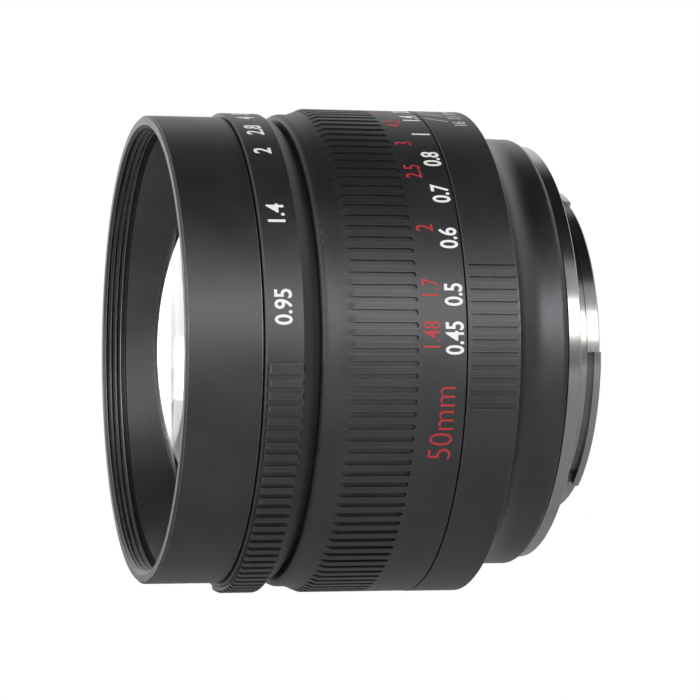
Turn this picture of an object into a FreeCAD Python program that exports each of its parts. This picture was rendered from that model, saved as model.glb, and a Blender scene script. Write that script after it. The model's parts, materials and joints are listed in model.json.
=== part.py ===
# A fast 50 mm prime camera lens with an aperture ring, a focus ring on a ten-start
# helicoid and a bayonet mount. +Z is up through the index line, the optical axis
# runs along Y, the front looks along -Y and the origin is the centre of the mount
# flange's rear face. Outlines are (radius, station) points: a station is the
# distance behind the front rim, so every piece is shifted by -flange_station.
import FreeCAD, Part
import Sketcher
import math
import os
from FreeCAD import Placement, Rotation, Vector

doc = FreeCAD.newDocument("prime_lens")
sheet = doc.addObject("Spreadsheet::Sheet", "dims")
row_count = 0
AXIS_ALONG_Y = Rotation(Vector(1, 0, 0), -90)
OVERRUN = 0.5  # how far a cut runs past the surface that it breaks through
EMBED = 0.3  # how deep added material is rooted in its base
CUTTER_REACH = 4.0  # longer than any cut from outside is deep


class Size:
    """A length or angle that carries its value and the sheet formula behind it."""

    def __init__(self, value, text):
        self.value = value
        self.text = text

    def __add__(self, other):
        return Size(self.value + value_of(other), f"({self.text} + {text_of(other)})")

    def __sub__(self, other):
        return Size(self.value - value_of(other), f"({self.text} - {text_of(other)})")

    def __mul__(self, other):
        return Size(self.value * value_of(other), f"({self.text} * {text_of(other)})")

    def __truediv__(self, other):
        return Size(self.value / value_of(other), f"({self.text} / {text_of(other)})")


def value_of(size):
    return size.value if isinstance(size, Size) else float(size)


def text_of(size):
    return size.text if isinstance(size, Size) else repr(size)


def dim(alias, value):
    """Write one driving dimension into the sheet and return it as a Size."""
    global row_count
    row_count += 1
    sheet.set(f"A{row_count}", alias)
    sheet.set(f"B{row_count}", repr(value))
    sheet.setAlias(f"B{row_count}", alias)
    return Size(value, f"dims.{alias}")


def bind(target, path, size):
    """Tie a property to the sheet, or set it where the size is a plain number."""
    if isinstance(size, Size):
        target.setExpression(path, size.text)
    else:
        setattr(target, path, size)


def leg(long_side, short_side):
    """The other leg of a right triangle, as a Size: how far a sphere's rim is from its centre."""
    value = math.sqrt(value_of(long_side) ** 2 - value_of(short_side) ** 2)
    return Size(value, f"sqrt({text_of(long_side)}^2 - {text_of(short_side)}^2)")


# ---- driving dimensions: fits ------------------------------------------------
turn_gap = dim("turn_gap", 0.05)
seat_gap = dim("seat_gap", 0.03)
slide_gap = dim("slide_gap", 0.3)
end_gap = dim("end_gap", 0.2)

# ---- driving dimensions: radii, worked outward from the lens unit's bore -----
unit_bore = dim("unit_bore", 29.6)
bearing_radius = unit_bore + dim("bearing_wall", 0.8)
neck_radius = unit_bore + dim("neck_wall", 1.4)
aperture_bore = bearing_radius + turn_gap
aperture_radius = aperture_bore + dim("aperture_wall", 2.37)
aperture_pad_height = dim("aperture_pad_height", 0.81)
front_radius = unit_bore + dim("front_ring_wall", 2.65)
filter_crest = unit_bore + dim("filter_step", 1.0)
focus_bore = neck_radius + slide_gap
focus_radius = focus_bore + dim("focus_wall", 2.35)
focus_band_radius = focus_radius - dim("focus_cone_drop", 0.83)
scale_radius = focus_radius + dim("scale_ring_step", 0.05)
edge_break = dim("edge_break", 0.12)
cover_waist_radius = unit_bore + dim("cover_waist_step", 0.4)
flange_radius = unit_bore - dim("flange_rim_step", 0.5)

# ---- driving dimensions: stations, worked back from the front rim ------------
front_length = dim("front_ring_length", 10.1)
thread_lead = dim("filter_thread_lead", 0.4)
thread_length = dim("filter_thread_length", 2.2)
thread_relief = dim("filter_thread_relief", 0.7)
aperture_front = front_length + dim("aperture_front_gap", 0.25)
aperture_length = dim("aperture_ring_length", 6.86)
aperture_rear = aperture_front + aperture_length
rear_travel = dim("travel_to_infinity", 0.49)
focus_front = aperture_rear + rear_travel + end_gap
focus_length = dim("focus_ring_length", 19.2)
focus_rear = focus_front + focus_length
scale_front = focus_rear + dim("scale_front_gap", 0.15)
scale_rear = scale_front + dim("scale_ring_length", 7.05)
cover_rear = scale_rear + dim("rear_cover_length", 8.0)
shim_rear = cover_rear + dim("shim_thickness", 0.15)
flange_station = shim_rear + dim("flange_thickness", 1.8)

# ---- driving dimensions: motion ----------------------------------------------
helix_lead = dim("helicoid_lead", 28.4)
helix_starts = 10
ring_to_open = dim("aperture_turn_to_open", 80.0)
ring_to_closed = dim("aperture_turn_to_closed", 11.3)

# ---- driving dimensions: optical cells and iris -------------------------------
cell_front = front_length - dim("cell_front_setback", 0.4)
cell_rear = cell_front + dim("front_cell_length", 11.25)
actuator_front = cell_rear + dim("actuator_gap", 0.15)
actuator_thickness = dim("actuator_thickness", 1.0)
blade_front = actuator_front + actuator_thickness + dim("blade_gap", 0.35)
blade_pitch = dim("blade_layer_pitch", 0.14)
blade_thickness = dim("blade_thickness", 0.1)
blade_count = 10
plate_front = blade_front + blade_pitch * blade_count + dim("plate_gap", 0.25)
plate_thickness = dim("iris_plate_thickness", 1.2)
plate_rear = plate_front + plate_thickness
unit_rear = plate_rear + dim("unit_lip_thickness", 0.7)
helicoid_flange_rear = unit_rear + dim("lens_helicoid_flange", 1.8)
female_front = helicoid_flange_rear + rear_travel + end_gap
shoulder_front = female_front + dim("focus_helicoid_flange", 2.5)
shoulder_rear = shoulder_front + dim("focus_shoulder_length", 3.0)
base_front = scale_front + dim("base_front_setback", 0.15)
web_front = scale_rear - dim("base_web_thickness", 1.5)
female_rear = web_front - end_gap
collar_front = female_rear - dim("focus_collar_length", 3.0)
male_rear = web_front - rear_travel - end_gap

# ---- driving dimensions: helicoid radii ---------------------------------------
male_bore = unit_bore - dim("male_bore_step", 3.2)
male_root = male_bore + dim("male_wall", 1.45)
male_crest = male_root + dim("helicoid_tooth", 0.7)
thread_gap = dim("helicoid_gap", 0.2)
female_radius = male_crest + thread_gap + dim("female_wall", 0.85)
collar_radius = female_radius + dim("collar_step", 0.8)
base_bore = collar_radius + end_gap
base_radius = base_bore + dim("base_wall", 1.6)
tail_bore = male_root - dim("tail_bore_step", 0.25)
tail_radius = tail_bore + dim("tail_wall", 1.3)

sub_parts = []


# ---- helpers: bodies, sketches and turned features -----------------------------
def new_body(label):
    body = doc.addObject("PartDesign::Body", label)
    body.Label = label
    body.AllowCompound = True
    body.setExpression(".Placement.Base.y", f"-{flange_station.text}")
    sub_parts.append(body)
    return body


def origin_part(body, role):
    return next(item for item in body.Origin.OriginFeatures if item.Role == role)


def section_sketch(body, name, angle=0.0, radius=None):
    """A sketch whose vertical axis runs along the lens, turned up from +X by angle
    degrees and moved out to a radius."""
    sketch = body.newObject("Sketcher::SketchObject", name)
    sketch.AttachmentSupport = [(origin_part(body, "XY_Plane"), "")]
    sketch.MapMode = "FlatFace"
    sketch.AttachmentOffset = Placement(Vector(0, 0, 0), Rotation(Vector(0, 1, 0), -angle))
    if radius is not None:
        sketch.setExpression("AttachmentOffset.Base.x", f"{radius.text} * {math.cos(math.radians(angle))}")
        sketch.setExpression("AttachmentOffset.Base.z", f"{radius.text} * {math.sin(math.radians(angle))}")
    return sketch


def radial_sketch(body, name, angle, station):
    """A sketch whose vertical axis points straight out of the lens at one station."""
    outward = Vector(math.cos(math.radians(angle)), 0, math.sin(math.radians(angle)))
    along = Vector(0, 1, 0)
    sketch = body.newObject("Sketcher::SketchObject", name)
    sketch.AttachmentSupport = [(origin_part(body, "XY_Plane"), "")]
    sketch.MapMode = "FlatFace"
    sketch.AttachmentOffset = Placement(Vector(0, 0, 0), Rotation(along, outward, along.cross(outward)))
    sketch.setExpression("AttachmentOffset.Base.y", station.text)
    return sketch


def tangent_sketch(body, name, angle, radius):
    """A sketch facing outward at a radius, with its vertical axis along the lens."""
    sketch = body.newObject("Sketcher::SketchObject", name)
    sketch.AttachmentSupport = [(origin_part(body, "XY_Plane"), "")]
    sketch.MapMode = "FlatFace"
    sketch.AttachmentOffset = Placement(Vector(0, 0, 0), Rotation(Vector(0, 1, 0), 90 - angle))
    sketch.setExpression("AttachmentOffset.Base.x", f"{radius.text} * {math.cos(math.radians(angle))}")
    sketch.setExpression("AttachmentOffset.Base.z", f"{radius.text} * {math.sin(math.radians(angle))}")
    return sketch


def pin_point(sketch, geometry, vertex, point):
    """Hold one sketch vertex at its sheet-driven coordinates."""
    for kind, size in (("DistanceX", point[0]), ("DistanceY", point[1])):
        if vertex == 3 and kind == "DistanceX":
            continue
        number = sketch.addConstraint(Sketcher.Constraint(kind, -1, 1, geometry, vertex, value_of(size)))
        if isinstance(size, Size):
            sketch.setExpression(f"Constraints[{number}]", size.text)


def draw_outline(sketch, outline, arcs=None):
    """Close an outline of straight runs. arcs gives, by the number of a run's first
    point, the middle point of an arc that replaces the run."""
    arcs = arcs or {}
    flat = [Vector(value_of(across), value_of(along), 0) for across, along in outline]
    for number, start in enumerate(flat):
        end = flat[(number + 1) % len(flat)]
        if number in arcs:
            middle = Vector(value_of(arcs[number][0]), value_of(arcs[number][1]), 0)
            sketch.addGeometry(Part.Arc(start, middle, end))
        else:
            sketch.addGeometry(Part.LineSegment(start, end))
    for number, point in enumerate(outline):
        after = (number + 1) % len(outline)
        first = start_vertex(sketch, number, flat[number])
        last = start_vertex(sketch, number, flat[after])
        joined = start_vertex(sketch, after, flat[after])
        pin_point(sketch, number, first, point)
        sketch.addConstraint(Sketcher.Constraint("Coincident", number, last, after, joined))
    for number in arcs:
        curve = sketch.Geometry[number]
        if math.isclose((curve.EndPoint - curve.StartPoint).Length, 2 * curve.Radius, rel_tol=1e-6):
            pin_point(sketch, number, 3, (0, outline[number][1]))
        else:
            sketch.addConstraint(Sketcher.Constraint("Radius", number, curve.Radius))


def start_vertex(sketch, geometry, point):
    """Tell which end of a run lies at a point: an arc may be stored reversed."""
    distances = [(sketch.getPoint(geometry, end) - point).Length for end in (1, 2)]
    return 1 if distances[0] < distances[1] else 2


def turned(label, outline, arcs=None):
    """A piece turned on the lens axis from one outline."""
    body = new_body(label)
    turn(body, outline, arcs)
    return body


def turn(body, outline, arcs=None, angle=0.0, sweep=360.0, kind="Revolution"):
    sketch = section_sketch(body, "outline", angle)
    draw_outline(sketch, outline, arcs)
    feature = body.newObject(f"PartDesign::{kind}", "turned")
    feature.Profile = sketch
    feature.ReferenceAxis = (sketch, ["V_Axis"])
    feature.Angle = sweep
    body.Tip = feature
    return feature


def tube(bore, outside, front, rear):
    return [(bore, front), (outside, front), (outside, rear), (bore, rear)]


def repeat(body, feature, count, sweep=360.0):
    """Repeat a feature about the lens axis, running from +X down towards -Z."""
    pattern = body.newObject("PartDesign::PolarPattern", "repeated")
    pattern.Originals = [feature]
    pattern.Axis = (origin_part(body, "Y_Axis"), [""])
    pattern.Angle = sweep
    pattern.Occurrences = count
    body.Tip = pattern
    return pattern


def around(body, sketch, outline, count, kind):
    """Turn an outline about the sketch's own axis and repeat it round the lens."""
    draw_outline(sketch, outline)
    feature = body.newObject(f"PartDesign::{kind}", "round_feature")
    feature.Profile = sketch
    feature.ReferenceAxis = (sketch, ["V_Axis"])
    feature.Angle = 360.0
    body.Tip = feature
    if count > 1:
        repeat(body, feature, count)


def milled_slots(body, angle, floor_radius, width, front, rear, count, sweep, rounded):
    """Cut slots along the lens into the outside of a ring, from a floor radius out."""
    sketch = tangent_sketch(body, "slot", angle, floor_radius)
    half = width / 2
    left = Size(-half.value, f"(-{half.text})")
    last = rear - half if rounded else rear
    outline = [(left, front), (half, front), (half, last), (left, last)]
    draw_outline(sketch, outline, {2: (0, rear)} if rounded else None)
    cut = body.newObject("PartDesign::Pocket", "slot_cut")
    cut.Profile = sketch
    cut.Reversed = True
    cut.Length = CUTTER_REACH
    body.Tip = cut
    if count > 1:
        repeat(body, cut, count, sweep)


def set_shape(label, shape):
    """A sub-part whose shape is worked out here from the sheet's values."""
    piece = doc.addObject("Part::Feature", label)
    piece.Label = label
    piece.Shape = shape
    piece.Placement = Placement(Vector(0, -flange_station.value, 0), Rotation())
    sub_parts.append(piece)
    return piece


# ---- front ring: filter thread at its mouth, clamps on the unit barrel ----------
unit_front = front_length - dim("front_ring_overlap", 1.9)
relief_start = thread_lead + thread_length
relief_radius = filter_crest + dim("filter_relief_depth", 0.5)
trim_front = relief_start + thread_relief
rim_chamfer = dim("rim_chamfer", 0.3)
trim_radius = filter_crest - dim("trim_ring_step", 0.65)
turned("front_ring", [
    (filter_crest + thread_lead, 0), (front_radius - rim_chamfer, 0), (front_radius, rim_chamfer),
    (front_radius, front_length), (bearing_radius + seat_gap, front_length),
    (bearing_radius + seat_gap, unit_front), (trim_radius + seat_gap, unit_front),
    (trim_radius + seat_gap, trim_front), (relief_radius, trim_front),
    (relief_radius, relief_start), (filter_crest, relief_start), (filter_crest, thread_lead)])

# ---- front trim ring: the blank cone between the filter thread and the glass ----
glass_one_radius = unit_bore - dim("front_glass_setback", 2.4)
trim_mouth = glass_one_radius - dim("front_glass_lap", 0.6)
trim_rear = cell_front - seat_gap
trim_lip = dim("trim_ring_lip", 0.1)
turned("front_trim_ring", [
    (trim_radius - trim_lip, trim_front), (trim_radius, trim_front), (trim_radius, unit_front - seat_gap),
    (unit_bore - seat_gap, unit_front - seat_gap), (unit_bore - seat_gap, trim_rear),
    (trim_mouth, trim_rear)])

# ---- unit barrel: carries both cells, the iris and the aperture ring -------------
neck_front = aperture_rear + dim("neck_gap", 0.15)
lip_bore = unit_bore - dim("unit_lip_step", 2.1)
unit_barrel = turned("unit_barrel", [
    (unit_bore, unit_front), (bearing_radius, unit_front), (bearing_radius, neck_front),
    (neck_radius, neck_front), (neck_radius, unit_rear), (lip_bore, unit_rear),
    (lip_bore, plate_rear), (unit_bore, plate_rear)])
pin_station = aperture_rear - dim("drive_pin_setback", 1.5)
pin_radius = dim("drive_pin_radius", 0.7)
pin_angle = -60.0
slot_half = pin_radius + turn_gap * 2
slot_margin = 3.0
turn(unit_barrel,
     tube(unit_bore - OVERRUN, bearing_radius + OVERRUN, pin_station - slot_half, pin_station + slot_half),
     angle=pin_angle + ring_to_open.value + slot_margin,
     sweep=ring_to_open.value + ring_to_closed.value + 2 * slot_margin, kind="Groove")
barrel_screw_radius = (neck_radius + unit_bore) / 2
small_screws = 6
small_thread = dim("small_thread_radius", 0.4)
small_head = dim("small_head_radius", 0.65)
head_depth = dim("screw_head_depth", 0.45)
head_gap = dim("screw_head_gap", 0.05)
thread_slack = dim("screw_thread_slack", 0.02)
screw_hole_depth = dim("screw_hole_depth", 3.0)
around(unit_barrel, section_sketch(unit_barrel, "tapped_hole", 0.0, barrel_screw_radius), [
    (0, unit_rear - screw_hole_depth), (small_thread, unit_rear - screw_hole_depth),
    (small_thread, unit_rear + OVERRUN), (0, unit_rear + OVERRUN)], small_screws, "Groove")

# ---- aperture ring: number band, rear bevel and two ribbed finger pads ------------
bevel_start = aperture_rear - dim("aperture_bevel_length", 1.81)
bevel_radius = aperture_radius - dim("aperture_bevel_drop", 1.02)
band_chamfer = dim("band_chamfer", 0.2)
aperture_ring = turned("aperture_ring", [
    (aperture_bore, aperture_front), (aperture_radius - band_chamfer, aperture_front),
    (aperture_radius, aperture_front + band_chamfer), (aperture_radius, bevel_start),
    (bevel_radius, aperture_rear), (aperture_bore, aperture_rear)])
pad_radius = aperture_radius + aperture_pad_height
pad_ease = dim("pad_ease", 0.25)
pad_front = aperture_front + dim("pad_front_setback", 0.35)
pad_root = aperture_radius - EMBED
pad_outline = [(pad_root, pad_front), (pad_radius - pad_ease, pad_front),
               (pad_radius, pad_front + pad_ease), (pad_radius, bevel_start - pad_ease),
               (pad_radius - pad_ease, bevel_start), (pad_root, bevel_start)]
rib_total = 126
rib_pitch = 360.0 / rib_total
rib_groove = dim("rib_groove_width", 0.85)
pad_groove_depth = dim("pad_groove_depth", 0.42)
pads = ((-3.0, 32), (176.0, 21))  # each pad's upper edge in degrees, and its length in ribs
for pad_angle, rib_count in pads:
    turn(aperture_ring, pad_outline, angle=pad_angle, sweep=rib_count * rib_pitch)
for pad_angle, rib_count in pads:
    milled_slots(aperture_ring, pad_angle - rib_pitch, pad_radius - pad_groove_depth, rib_groove,
                 aperture_front - OVERRUN, aperture_rear, rib_count - 1, (rib_count - 2) * rib_pitch,
                 False)
pin_hole_end = aperture_bore + dim("pin_hole_depth", 0.9)
around(aperture_ring, radial_sketch(aperture_ring, "pin_hole", pin_angle, pin_station), [
    (0, aperture_bore - OVERRUN), (pin_radius + seat_gap, aperture_bore - OVERRUN),
    (pin_radius + seat_gap, pin_hole_end), (0, pin_hole_end)], 1, "Groove")

# ---- aperture drive pin: carries the ring's turn in to the iris actuator ----------
arm_outside = unit_bore - dim("arm_gap", 0.3)
arm_thickness = dim("arm_thickness", 0.9)
drive_pin = new_body("aperture_drive_pin")
around(drive_pin, radial_sketch(drive_pin, "pin", pin_angle, pin_station), [
    (0, arm_outside - arm_thickness), (pin_radius, arm_outside - arm_thickness),
    (pin_radius, pin_hole_end - turn_gap), (0, pin_hole_end - turn_gap)], 1, "Revolution")

# ---- focus ring: cone at the front, 126 milled grooves, smooth scale band behind ---
nose_length = dim("focus_nose_length", 1.0)
nose_drop = dim("focus_nose_drop", 0.62)
nose_middle = (focus_band_radius - nose_drop * 0.27, focus_front + nose_length * 0.42)
focus_nose = focus_front + nose_length
cone_start = focus_front + dim("focus_band_length", 2.3)
cone_end = cone_start + dim("focus_cone_length", 2.0)
shoulder_bore = female_radius + seat_gap
focus_ring = turned("focus_ring", [
    (focus_bore, focus_front), (focus_band_radius - nose_drop, focus_front),
    (focus_band_radius, focus_nose), (focus_band_radius, cone_start), (focus_radius, cone_end),
    (focus_radius, focus_rear - edge_break), (focus_radius - edge_break, focus_rear),
    (focus_bore, focus_rear),
    (focus_bore, shoulder_rear), (shoulder_bore, shoulder_rear), (shoulder_bore, shoulder_front),
    (focus_bore, shoulder_front)], {1: nose_middle})
groove_rear = focus_rear - dim("focus_scale_band", 6.5)
groove_depth = dim("focus_groove_depth", 0.45)
milled_slots(focus_ring, 90.0 - rib_pitch / 2, focus_radius - groove_depth, rib_groove,
             cone_start, groove_rear, rib_total, 360.0, True)
helicoid_screw_radius = (focus_bore + female_radius) / 2
helicoid_screw_angle = 30.0
focus_hole_end = shoulder_front + dim("focus_hole_depth", 2.0)
around(focus_ring, section_sketch(focus_ring, "tapped_hole", helicoid_screw_angle, helicoid_screw_radius), [
    (0, shoulder_front - OVERRUN), (small_thread, shoulder_front - OVERRUN),
    (small_thread, focus_hole_end), (0, focus_hole_end)], small_screws, "Groove")

# ---- scale ring: fixed, with two ribbed gripping areas for mounting the lens -------
scale_bore = base_radius + seat_gap
scale_ring = turned("scale_ring", [
    (scale_bore, scale_front), (scale_radius - edge_break, scale_front),
    (scale_radius, scale_front + edge_break), (scale_radius, scale_rear - edge_break),
    (scale_radius - edge_break, scale_rear), (scale_bore, scale_rear)])
grip_slots = 12
grip_front = scale_front + dim("grip_setback", 0.45)
for grip_angle in (20.6, 200.6):
    milled_slots(scale_ring, grip_angle - rib_pitch / 2, scale_radius - groove_depth, rib_groove,
                 grip_front, scale_rear + OVERRUN, grip_slots, (grip_slots - 1) * rib_pitch, False)

# ---- base barrel: the fixed tube that everything behind the focus ring sits on -----
tail_flange = dim("tail_flange_length", 2.8)
tail_flange_bore = unit_bore - dim("tail_flange_step", 5.1)
base_barrel = turned("base_barrel", [
    (base_bore, base_front), (base_radius, base_front), (base_radius, scale_rear),
    (tail_radius, scale_rear), (tail_radius, cover_rear), (tail_flange_bore, cover_rear),
    (tail_flange_bore, cover_rear - tail_flange), (tail_bore, cover_rear - tail_flange),
    (tail_bore, web_front), (base_bore, web_front)])
mount_screw_radius = tail_flange_bore + dim("mount_screw_inset", 1.95)
mount_screw_angle = 45.0
mount_screw_count = 4
mount_thread = dim("mount_thread_radius", 0.8)
mount_head = dim("mount_head_radius", 1.5)
mount_hole_front = cover_rear - dim("mount_hole_depth", 2.2)
around(base_barrel, section_sketch(base_barrel, "tapped_hole", mount_screw_angle, mount_screw_radius), [
    (0, mount_hole_front), (mount_thread, mount_hole_front), (mount_thread, cover_rear + OVERRUN),
    (0, cover_rear + OVERRUN)], mount_screw_count, "Groove")
key_screw_station = cover_rear - tail_flange - dim("key_screw_setback", 1.8)
key_angles = (0.0, 180.0)
for key_angle in key_angles:
    around(base_barrel, radial_sketch(base_barrel, "key_hole", key_angle, key_screw_station), [
        (0, tail_bore - OVERRUN), (small_thread + seat_gap, tail_bore - OVERRUN),
        (small_thread + seat_gap, tail_radius - head_depth), (small_head + seat_gap, tail_radius),
        (small_head + seat_gap, tail_radius + OVERRUN), (0, tail_radius + OVERRUN)], 1, "Groove")

# ---- helicoid retainer: keeps the focus ring's collar inside the base barrel --------
retainer_front = base_front + dim("retainer_setback", 0.1)
turned("helicoid_retainer", tube(female_radius + end_gap, base_bore - seat_gap, retainer_front,
                                 collar_front - end_gap))

# ---- rear cover: the bell that narrows from the scale ring down to the flange -------
shoulder_radius = scale_radius - dim("cover_shoulder_drop", 0.9)
cove_length = dim("cover_cove_length", 5.2)
cove_height = shoulder_radius - cover_waist_radius
cove_middle = (cover_waist_radius + cove_height * 0.314, scale_rear + cove_length * 0.375)
cover_edge_length = dim("cover_edge_length", 1.0)
cover_edge_drop = dim("cover_edge_drop", 0.7)
cover_edge_middle = (cover_waist_radius - cover_edge_drop * 0.286, cover_rear - cover_edge_length * 0.3)
rear_cover = turned("rear_cover", [
    (tail_radius + seat_gap, scale_rear), (shoulder_radius, scale_rear),
    (shoulder_radius, scale_rear + dim("cover_lip_length", 0.35)),
    (cover_waist_radius, scale_rear + cove_length),
    (cover_waist_radius, cover_rear - cover_edge_length),
    (cover_waist_radius - cover_edge_drop, cover_rear), (tail_radius + seat_gap, cover_rear)],
    {2: cove_middle, 4: cover_edge_middle})
dot_angle = 90.0
dot_radius = dim("index_dot_radius", 1.0)
dot_dome = dim("index_dot_dome", 0.1)
dot_station = cover_rear - dim("index_dot_setback", 2.4)
dot_floor = cover_waist_radius - dim("index_dot_depth", 0.6)
around(rear_cover, radial_sketch(rear_cover, "dot_seat", dot_angle, dot_station), [
    (0, dot_floor), (dot_radius + seat_gap, dot_floor),
    (dot_radius + seat_gap, cover_waist_radius + OVERRUN), (0, cover_waist_radius + OVERRUN)],
    1, "Groove")

# ---- mount index dot: a bead of enamel set in the cover at top centre ---------------
index_dot = new_body("mount_index_dot")
around(index_dot, radial_sketch(index_dot, "dot", dot_angle, dot_station), [
    (0, dot_floor), (dot_radius, dot_floor), (dot_radius, cover_waist_radius - seat_gap),
    (dot_radius * 0.6, cover_waist_radius + dot_dome), (0, cover_waist_radius + dot_dome)],
    1, "Revolution")

# ---- mount shim and bayonet mount ----------------------------------------------------
mount_bore = dim("mount_bore", 20.3)
spigot_radius = dim("spigot_radius", 22.0)
collar_rim = spigot_radius + dim("spigot_collar_step", 0.3)
claw_radius = spigot_radius + dim("claw_height", 0.95)
channel_front = flange_station + dim("spigot_length", 3.15)
claw_front = channel_front + dim("claw_channel_width", 0.75)
claw_rear = claw_front + dim("claw_thickness", 1.0)
claw_ease = dim("claw_ease", 0.2)
screw_hole_radius = mount_thread + dim("mount_hole_slack", 0.1)
shim_radius = tail_radius - dim("shim_inset", 0.4)
shim = turned("mount_shim", tube(tail_flange_bore, shim_radius, cover_rear, shim_rear))
around(shim, section_sketch(shim, "clear_hole", mount_screw_angle, mount_screw_radius), [
    (0, cover_rear - OVERRUN), (screw_hole_radius, cover_rear - OVERRUN),
    (screw_hole_radius, shim_rear + OVERRUN), (0, shim_rear + OVERRUN)], mount_screw_count, "Groove")
bayonet = turned("bayonet_mount", [
    (mount_bore, shim_rear), (flange_radius - edge_break, shim_rear),
    (flange_radius, shim_rear + edge_break), (flange_radius, flange_station - edge_break),
    (flange_radius - edge_break, flange_station), (spigot_radius, flange_station),
    (spigot_radius, channel_front), (collar_rim, channel_front), (collar_rim, claw_rear - claw_ease),
    (collar_rim - claw_ease, claw_rear), (mount_bore, claw_rear)])
claw_span = 54.0
channel_floor = spigot_radius - dim("claw_channel_depth", 0.9)
claw_root = spigot_radius - EMBED
for claw_angle in (0.0, 120.0, 240.0):
    turn(bayonet, tube(channel_floor, claw_radius + OVERRUN, channel_front, claw_front),
         angle=claw_angle, sweep=claw_span, kind="Groove")
    turn(bayonet, [(claw_root, claw_front), (claw_radius, claw_front),
                   (claw_radius, claw_rear - claw_ease), (claw_radius - claw_ease, claw_rear),
                   (claw_root, claw_rear)], angle=claw_angle, sweep=claw_span)
head_sink = dim("mount_head_sink", 0.15)
head_hole_radius = mount_head + head_gap * 2
sink_front = flange_station - dim("mount_head_depth", 0.9)
sink_rear = flange_station - head_sink + head_gap
around(bayonet, section_sketch(bayonet, "sunk_hole", mount_screw_angle, mount_screw_radius), [
    (0, shim_rear - OVERRUN), (screw_hole_radius, shim_rear - OVERRUN),
    (screw_hole_radius, sink_front), (head_hole_radius, sink_rear),
    (head_hole_radius, flange_station + OVERRUN), (0, flange_station + OVERRUN)],
    mount_screw_count, "Groove")
lock_hole_angle = -22.0
lock_hole_radius = dim("lock_hole_radius", 1.2)
lock_hole_front = flange_station - dim("lock_hole_depth", 1.3)
around(bayonet, section_sketch(bayonet, "lock_hole", lock_hole_angle, mount_screw_radius), [
    (0, lock_hole_front), (lock_hole_radius, lock_hole_front),
    (lock_hole_radius, flange_station + OVERRUN), (0, flange_station + OVERRUN)], 1, "Groove")
mount_screws = new_body("mount_screws")
screw_tip = mount_hole_front + end_gap
around(mount_screws, section_sketch(mount_screws, "screw", mount_screw_angle, mount_screw_radius), [
    (0, flange_station - head_sink), (mount_head, flange_station - head_sink),
    (mount_thread, sink_front), (mount_thread, screw_tip), (0, screw_tip)],
    mount_screw_count, "Revolution")

# ---- rear baffle: blackened light stop pressed into the mount's bore ----------------
baffle_front = flange_station + dim("baffle_setback", 0.3)
baffle_bore = mount_bore - dim("baffle_reach", 3.1)
baffle_lip = dim("baffle_lip", 0.3)
baffle_rear = claw_rear - dim("baffle_rear_setback", 0.5)
baffle_mouth = mount_bore - dim("baffle_tail_wall", 0.8)
turned("rear_baffle", [
    (baffle_bore, baffle_front + baffle_lip), (baffle_bore + baffle_lip, baffle_front),
    (mount_bore - seat_gap, baffle_front), (mount_bore - seat_gap, baffle_rear),
    (baffle_mouth, baffle_rear)])

# ---- front cell: holds the front glass and the doublet ahead of the stop -------------
rim_gap = dim("glass_seat_gap", 0.05)
front_rim = cell_front + dim("front_glass_rim_setback", 0.35)
front_seat = front_rim + dim("front_glass_edge", 0.78)
seat_lap = dim("glass_seat_lap", 0.6)
doublet_radius = dim("front_doublet_radius", 22.5)
doublet_rear = cell_rear - dim("front_doublet_setback", 0.28)
second_edge = dim("second_element_edge", 0.77)
third_edge = dim("third_element_edge", 3.7)
doublet_seat = doublet_rear - third_edge - second_edge - dim("doublet_seat_room", 0.4)
front_seat_slope = dim("front_seat_slope", 1.4)
inner_cell_radius = arm_outside - arm_thickness - dim("arm_clearance", 0.8)
step_station = cell_front + dim("front_cell_shoulder", 4.4)
turned("front_cell", [
    (glass_one_radius + rim_gap, cell_front), (unit_bore - seat_gap, cell_front),
    (unit_bore - seat_gap, step_station), (inner_cell_radius, step_station),
    (inner_cell_radius, cell_rear), (doublet_radius + rim_gap, cell_rear),
    (doublet_radius + rim_gap, doublet_seat), (doublet_radius - seat_lap, doublet_seat),
    (doublet_radius - seat_lap, front_seat + front_seat_slope),
    (glass_one_radius - seat_lap * 2, front_seat + rim_gap),
    (glass_one_radius + rim_gap, front_seat + rim_gap)])
doublet_retainer_bore = doublet_radius - dim("doublet_retainer_width", 5.4)
turned("doublet_retainer", tube(doublet_retainer_bore, doublet_radius, doublet_rear + rim_gap, cell_rear))


# ---- lens elements: cylinders of glass cut to spherical faces -------------------------
def along_axis(kind, name, radius, front, rear=None):
    """A Part cylinder or sphere on the lens axis, tied to the sheet."""
    solid = doc.addObject(kind, name)
    bind(solid, "Radius", radius)
    if rear is not None:
        bind(solid, "Height", rear - front)
        solid.Placement = Placement(Vector(0, 0, 0), AXIS_ALONG_Y)
    solid.setExpression(".Placement.Base.y", f"{front.text} - {flange_station.text}")
    return solid


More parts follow.
